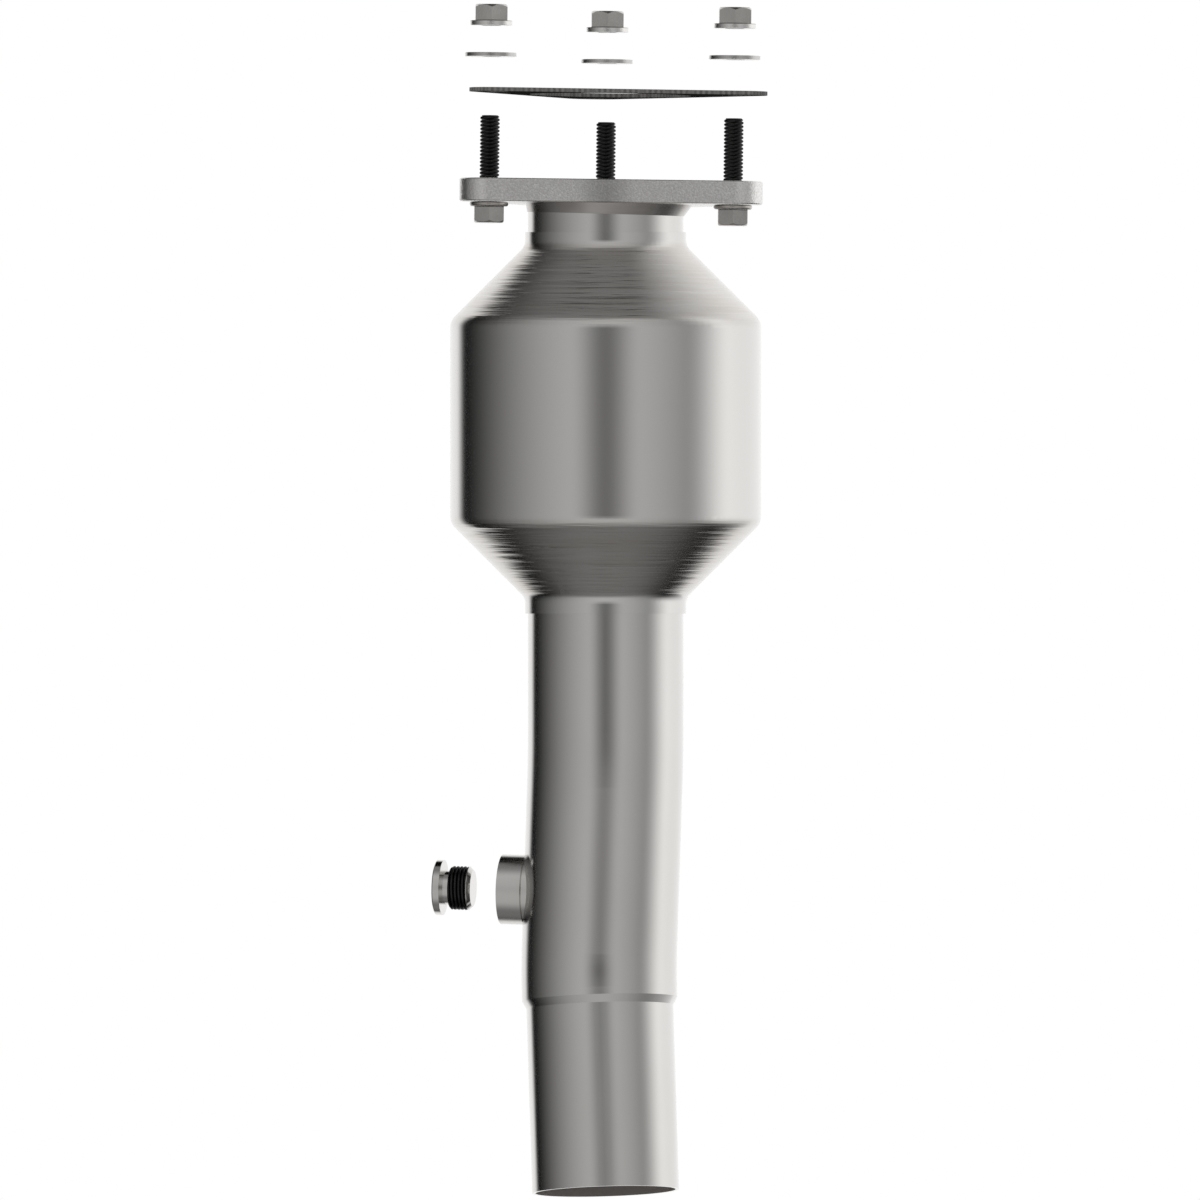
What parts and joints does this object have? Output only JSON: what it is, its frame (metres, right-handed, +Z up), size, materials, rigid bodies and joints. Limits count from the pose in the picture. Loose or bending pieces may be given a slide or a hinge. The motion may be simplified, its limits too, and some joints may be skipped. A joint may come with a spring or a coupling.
{
  "type": "catalytic converter",
  "caption": "Exhaust catalytic converter: bolt-on inlet flange, spun can, bent outlet pipe with sensor boss; its plug, gasket and fixings are drawn apart.",
  "frame": {"origin": "centre of the inlet flange's gasket face, on the bolt circle's axis", "axes": "+Z up the can's axis towards the inlet, +X to the side away from the sensor boss, +Y to the back, away from the two front bolts"},
  "size_m": [0.1373, 0.1331, 0.4873],
  "materials": {
    "tube_steel": "satin drawn tube",
    "can_steel": "satin, spun",
    "flange_steel": "matt blasted plate",
    "weld_steel": "smooth weld",
    "boss_steel": "turned",
    "plug_steel": "turned, dark thread",
    "bolt_steel": "satin head, dark thread",
    "nut_steel": "plated",
    "washer_steel": "plated",
    "gasket_sheet": "graphite-faced steel sheet",
    "honeycomb": "coated ceramic",
    "fibre_mat": "ceramic fibre",
    "mesh_seal": "pressed wire mesh"
  },
  "bodies": {
    "root": {"inlet_flange": "flange_steel", "inlet_neck": "tube_steel", "inlet_weld": "weld_steel", "can_shell": "can_steel", "catalyst_monolith": "honeycomb", "support_mat": "fibre_mat", "mat_seal_inlet": "mesh_seal", "mat_seal_outlet": "mesh_seal", "outlet_pipe": "tube_steel", "sensor_boss": "boss_steel", "sensor_plug": "plug_steel", "inlet_gasket": "gasket_sheet", "flange_bolt_left": "bolt_steel", "washer_left": "washer_steel", "nut_left": "nut_steel", "flange_bolt_right": "bolt_steel", "washer_right": "washer_steel", "nut_right": "nut_steel", "flange_bolt_back": "bolt_steel", "washer_back": "washer_steel", "nut_back": "nut_steel"}
  },
  "joints": []
}
